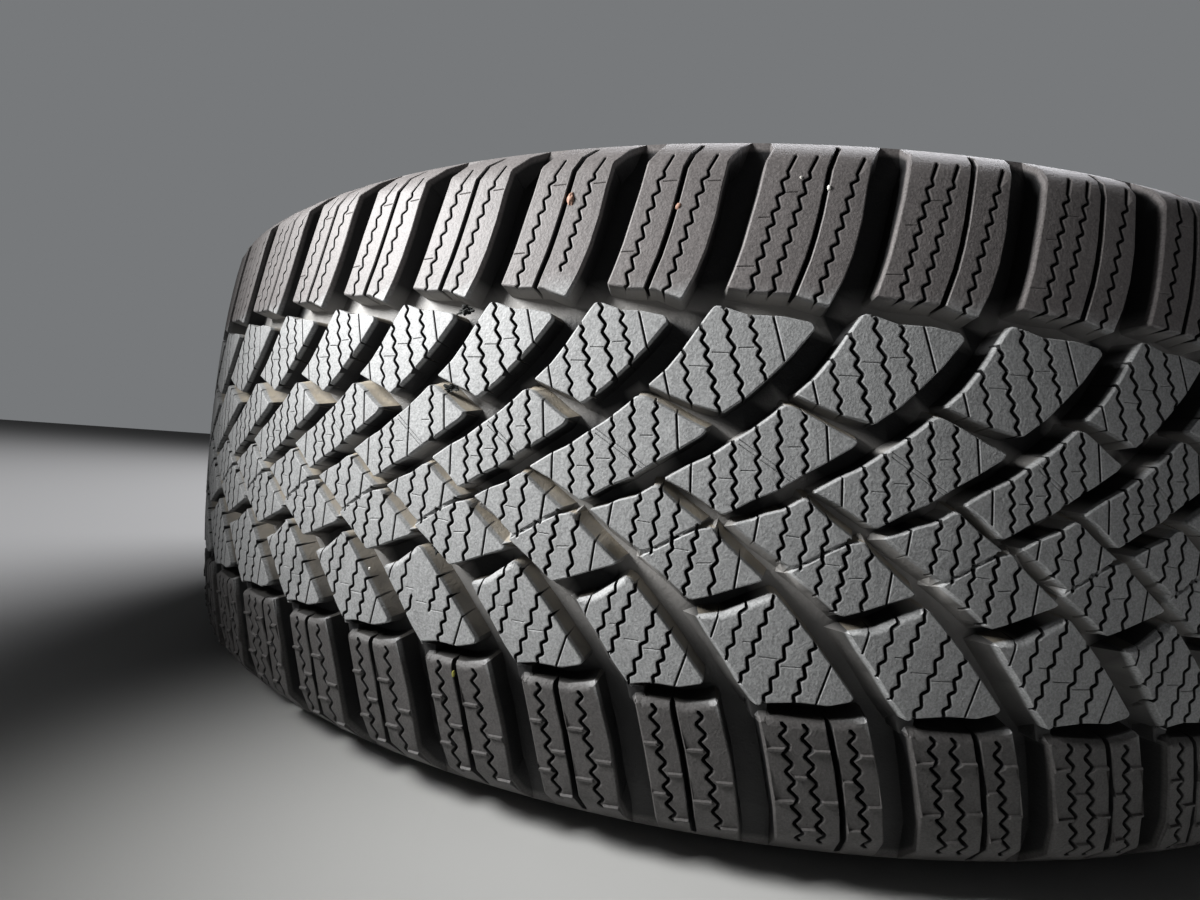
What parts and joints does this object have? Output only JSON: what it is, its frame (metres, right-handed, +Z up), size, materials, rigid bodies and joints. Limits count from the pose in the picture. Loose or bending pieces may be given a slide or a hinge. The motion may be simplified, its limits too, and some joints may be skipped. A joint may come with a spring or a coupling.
{
  "type": "car tyre",
  "caption": "Old worn car tyre lying on its side: hollow casing with two beads and a siped, directional winter tread with slanting shoulder blocks.",
  "frame": {"origin": "centre of the lower sidewall's contact ring, on the ground under the tyre's axis", "axes": "+Z up along the tyre's axis, -Y to the viewer, +X to the viewer's right"},
  "size_m": [0.6318, 0.6318, 0.202],
  "materials": {
    "tyre": "matt weathered rubber, worn grey on the blocks, dusty in the grooves"
  },
  "bodies": {
    "root": {"tyre": "tyre"}
  },
  "joints": []
}
